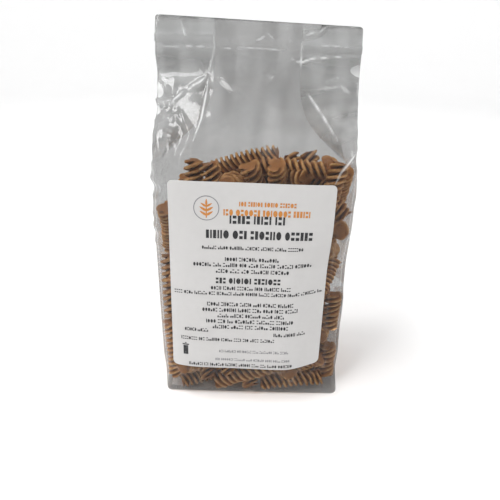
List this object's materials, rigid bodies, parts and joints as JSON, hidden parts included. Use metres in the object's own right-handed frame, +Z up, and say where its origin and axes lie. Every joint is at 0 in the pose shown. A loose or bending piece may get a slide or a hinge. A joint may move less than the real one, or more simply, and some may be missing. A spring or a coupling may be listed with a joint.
{
  "type": "pack of lentil pasta",
  "caption": "Clear side-gusset bag of spiral lentil pasta, heat sealed across the top, standing on its folded base, with a plain paper label on the front.",
  "frame": {"origin": "middle of the flat base that the bag stands on", "axes": "+Z up, from the base to the sealed top; -Y towards the side with the label; +X to the right of someone who faces the label"},
  "size_m": [0.1064, 0.0753, 0.2],
  "materials": {
    "filled_bag": "gloss",
    "clear_film": "gloss",
    "pasta": "matte",
    "label_paper": "satin",
    "black_ink": "matte",
    "grey_ink": "matte",
    "orange_ink": "matte"
  },
  "bodies": {
    "root": {"bag": "filled_bag", "label": "label_paper"}
  },
  "joints": []
}
